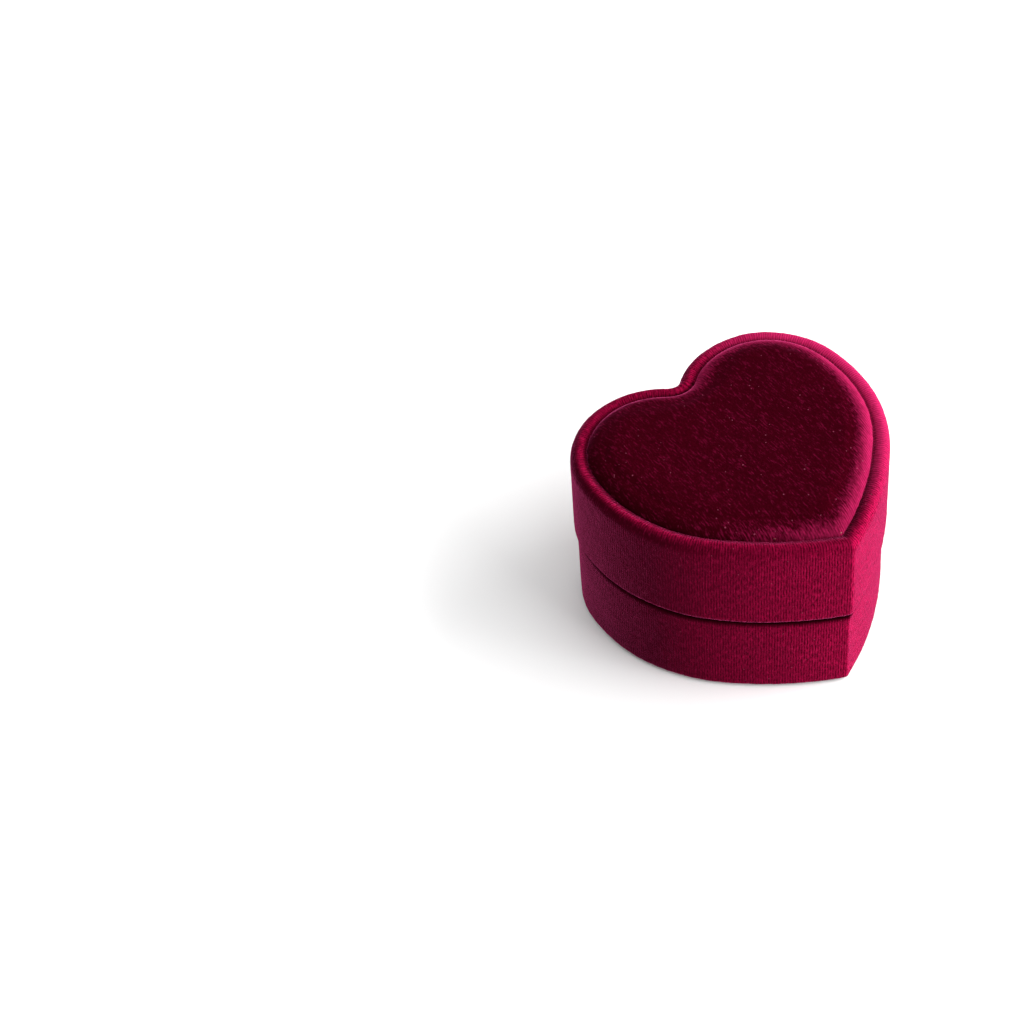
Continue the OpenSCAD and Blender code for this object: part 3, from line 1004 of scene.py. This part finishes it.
class HEARTBOX_OT_satin_pad(bpy.types.Operator):
    """Stuff the satin pad in the lid and gather it round its edge"""

    bl_idname = "heartbox.satin_pad"
    bl_label = "Satin Pad"

    def execute(self, context):
        shape, colours = context.scene.heartbox_shape, context.scene.heartbox_colours
        low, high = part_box("lid_pad_satin")
        inset = PAD_INSET + PAD_CLEAR
        bottom = low.z + 0.5 * MM
        corners = [(inset, high.z, 0), (inset, bottom, 0.9 * MM), (inset + 4 * MM, bottom, 0)]
        profile = rounded_profile(corners, shape.step, closed=False)
        piece = remesh(loft("satin_pad", shape, profile, shape.step, closed=False), PAD_VOXEL, 2)
        points = read_points(piece.data)
        stuff(piece, points[:, 2] > high.z - GLUED_EDGE, SATIN_SWELL)
        finer(piece)
        self.gather(piece, shape, high.z)
        uneven(piece, [(0.10 * MM, 6 * MM)], seed=13)
        dress(piece, satin_cloth(colours))
        mount(piece, "lid", "satin", "lid_pad_satin")
        core_low, core_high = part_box("lid_pad_foam")
        core(context, "satin_pad_core", "lid", "lid_pad_foam", inset + 1.0 * MM,
             core_high.z - 0.2 * MM, core_low.z + 1.2 * MM, 1.0 * MM)
        return {"FINISHED"}

    def gather(self, piece, shape, glued_z):
        """Small pleats that run in from the edge and fade out."""
        points = read_points(piece.data)
        reach = inset_of(points, shape, PAD_INSET)
        turn = np.arctan2(points[:, 1] - points[:, 1].mean(), points[:, 0])
        wander = np.array([noise.noise(Vector((3 * math.cos(t), 3 * math.sin(t), 0.5))) for t in turn])
        pleat = np.sin(46 * turn + 9 * wander) + 0.5 * np.sin(83 * turn + 5 * wander)
        fade = np.clip(1 - reach / (PLEAT_REACH * (1 + 0.6 * wander)), 0, 1) ** 1.5
        free = np.clip((glued_z - points[:, 2]) / (1 * MM), 0, 1)
        lift = PLEAT_RISE * pleat * fade * free
        write_points(piece.data, points + read_normals(piece.data) * lift[:, None])


def satin_cloth(colours):
    return bpy.data.materials.get("satin") or satin(colours)


class HEARTBOX_OT_linings(bpy.types.Operator):
    """Line the walls of the base with velvet and of the lid with satin"""

    bl_idname = "heartbox.linings"
    bl_label = "Linings"

    def execute(self, context):
        shape, colours = context.scene.heartbox_shape, context.scene.heartbox_colours
        self.line("wall_lining", "base_lining", "base", "velvet", inside_velvet(colours), shape,
                  [lug_room()])
        low, high = lug_room()
        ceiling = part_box("hinge_lid_leaf")[1].z + LUG_HEIGHT + 0.5 * MM
        room = (low, (high[0], high[1], ceiling))
        self.line("satin_lining", "lid_lining", "lid", "satin", satin_cloth(colours), shape, [room])
        return {"FINISHED"}

    def line(self, name, node, body, slot, material, shape, rooms):
        """One strip of card that stands inside the wall, with cloth turned over its edges."""
        low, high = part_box(node)
        outer, inner = LINING_INSET + 0.02 * MM, LINING_INSET + LINING_T
        places = ((outer, low.z), (outer, high.z), (inner, high.z), (inner, low.z))
        corners = [(inset, height, CARD_EDGE_R) for inset, height in places]
        piece = loft(name, shape, rounded_profile(corners, shape.step), 1.5 * shape.step)
        uneven(piece, [(0.04 * MM, 3 * MM)], seed=19)
        cut(piece, rooms)
        dress(piece, material)
        mount(piece, body, slot, node)


class HEARTBOX_OT_hard_parts(bpy.types.Operator):
    """Finish the shells, boards, foot paper and hinge, whose shapes come from the frame"""

    bl_idname = "heartbox.hard_parts"
    bl_label = "Shells, Boards and Hinge"

    def execute(self, context):
        colours = context.scene.heartbox_colours
        leaf_metal = rolled_metal("gilt_sheet", colours.gilt, (1, 12, 1))
        wire_metal = rolled_metal("gilt_wire", colours.gilt, (12, 1, 1))
        spring_metal = rolled_metal("blued_spring", colours.spring_steel, (12, 1, 1))
        finishes = {
            moulded_plastic(colours): ("base_shell", "lid_shell"),
            grained_paper(colours): ("base_sheet",),
            board(colours): ("insert_board", "lid_pad_board", "top_board"),
            leaf_metal: ("hinge_base_leaf", "hinge_lid_leaf"),
            wire_metal: ("hinge_pin", "base_rivets", "lid_rivets"),
            spring_metal: ("hinge_spring",),
        }
        for material, nodes in finishes.items():
            for node in nodes:
                dress(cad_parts[node], material)
        return {"FINISHED"}


class HEARTBOX_OT_stage(bpy.types.Operator):
    """Set the floor, the white room, the softboxes and the camera"""

    bl_idname = "heartbox.stage"
    bl_label = "Stage"

    def execute(self, context):
        stage = context.scene.heartbox_stage
        self.floor(stage)
        self.room(context, stage)
        middle = Vector((0, 0, 0.015))
        self.softbox("key_light", middle, Vector((0.85, -0.50, 0.65)), 1.2, 0.95, stage.key_power)
        self.softbox("front_light", middle, Vector((0.35, -0.90, 0.45)), 1.2, 0.60, stage.front_power)
        self.camera(context, stage)
        context.scene.view_settings.view_transform = "Standard"
        return {"FINISHED"}

    def floor(self, stage):
        work = bmesh.new()
        bmesh.ops.create_grid(work, x_segments=2, y_segments=2, size=3)
        mesh = bpy.data.meshes.new("floor")
        work.to_mesh(mesh)
        work.free()
        smooth_faces(mesh)
        floor = link("floor", mesh)
        material, tree, shader = new_material("floor", Roughness=0.85, Specular_IOR_Level=0.1)
        mottle = noise_at(tree, object_place(tree), 40 * MM)
        base = tuple(stage.floor)
        colour = mix_colours(tree, mottle, scaled(base, 0.99), base)
        tree.links.new(colour, shader.inputs["Base Color"])
        dress(floor, material)

    def room(self, context, stage):
        """A white room that is dimmer on the left, where the light is flagged off."""
        world = bpy.data.worlds.new("room")
        world.use_nodes = True
        context.scene.world = world
        tree = world.node_tree
        direction = add_node(tree, "ShaderNodeTexCoord").outputs["Generated"]
        split = add_node(tree, "ShaderNodeSeparateXYZ", {0: direction})
        side = between(tree, split.outputs[0], -0.9, 0.8, stage.surround_left, stage.surround)
        tree.links.new(side, tree.nodes["Background"].inputs["Strength"])
        tree.nodes["Background"].inputs["Color"].default_value = (1, 1, 1, 1)

    def softbox(self, name, aim, direction, distance, size, power):
        light = bpy.data.lights.new(name, "AREA")
        light.shape, light.size, light.energy = "SQUARE", size, power
        lamp = link(name, light)
        lamp.location = aim + direction.normalized() * distance
        lamp.rotation_euler = direction.to_track_quat("Z", "Y").to_euler()

    def camera(self, context, stage):
        azimuth, elevation, roll = stage.azimuth, stage.elevation, stage.roll
        back = Vector((
            math.sin(azimuth) * math.cos(elevation),
            -math.cos(azimuth) * math.cos(elevation),
            math.sin(elevation),
        ))
        right = Vector((0, 0, 1)).cross(back).normalized()
        up = back.cross(right)
        level = Matrix((right, up, back)).transposed()
        lens = bpy.data.cameras.new("camera")
        lens.lens, lens.sensor_width = stage.lens, 36
        camera = link("camera", lens)
        turned = level @ Matrix.Rotation(roll, 3, "Z")
        place = Vector((stage.aim_x, stage.aim_y, 0)) + back * stage.distance
        camera.matrix_world = Matrix.Translation(place) @ turned.to_4x4()
        context.scene.camera = camera


class HEARTBOX_PT_panel(bpy.types.Panel):
    """Lists the pieces in the order in which they are made"""

    bl_idname = "HEARTBOX_PT_panel"
    bl_label = "Heart Box"
    bl_space_type = "VIEW_3D"
    bl_region_type = "UI"
    bl_category = "Heart Box"

    def draw(self, context):
        for group in ("heartbox_shape", "heartbox_colours", "heartbox_stage"):
            settings = getattr(context.scene, group)
            box = self.layout.box()
            for name in settings.__annotations__:
                box.prop(settings, name)
        for operator in OPERATORS:
            self.layout.operator(operator.bl_idname)


OPERATORS = (
    HEARTBOX_OT_stage,
    HEARTBOX_OT_base_velvet,
    HEARTBOX_OT_lid_velvet,
    HEARTBOX_OT_top_pad,
    HEARTBOX_OT_ring_pad,
    HEARTBOX_OT_satin_pad,
    HEARTBOX_OT_linings,
    HEARTBOX_OT_hard_parts,
)
GROUPS = {
    "heartbox_shape": HeartBoxShape,
    "heartbox_colours": HeartBoxColours,
    "heartbox_stage": HeartBoxStage,
}


def register():
    for cls in (*GROUPS.values(), *OPERATORS, HEARTBOX_PT_panel):
        bpy.utils.register_class(cls)
    for name, group in GROUPS.items():
        setattr(bpy.types.Scene, name, PointerProperty(type=group))


def unregister():
    for name in GROUPS:
        delattr(bpy.types.Scene, name)
    for cls in reversed((*GROUPS.values(), *OPERATORS, HEARTBOX_PT_panel)):
        bpy.utils.unregister_class(cls)


def main():
    register()
    bpy.ops.heartbox.stage()
    bpy.ops.heartbox.base_velvet()
    bpy.ops.heartbox.lid_velvet()
    bpy.ops.heartbox.top_pad()
    bpy.ops.heartbox.ring_pad()
    bpy.ops.heartbox.satin_pad()
    bpy.ops.heartbox.linings()
    bpy.ops.heartbox.hard_parts()


if __name__ == "__main__":
    main()
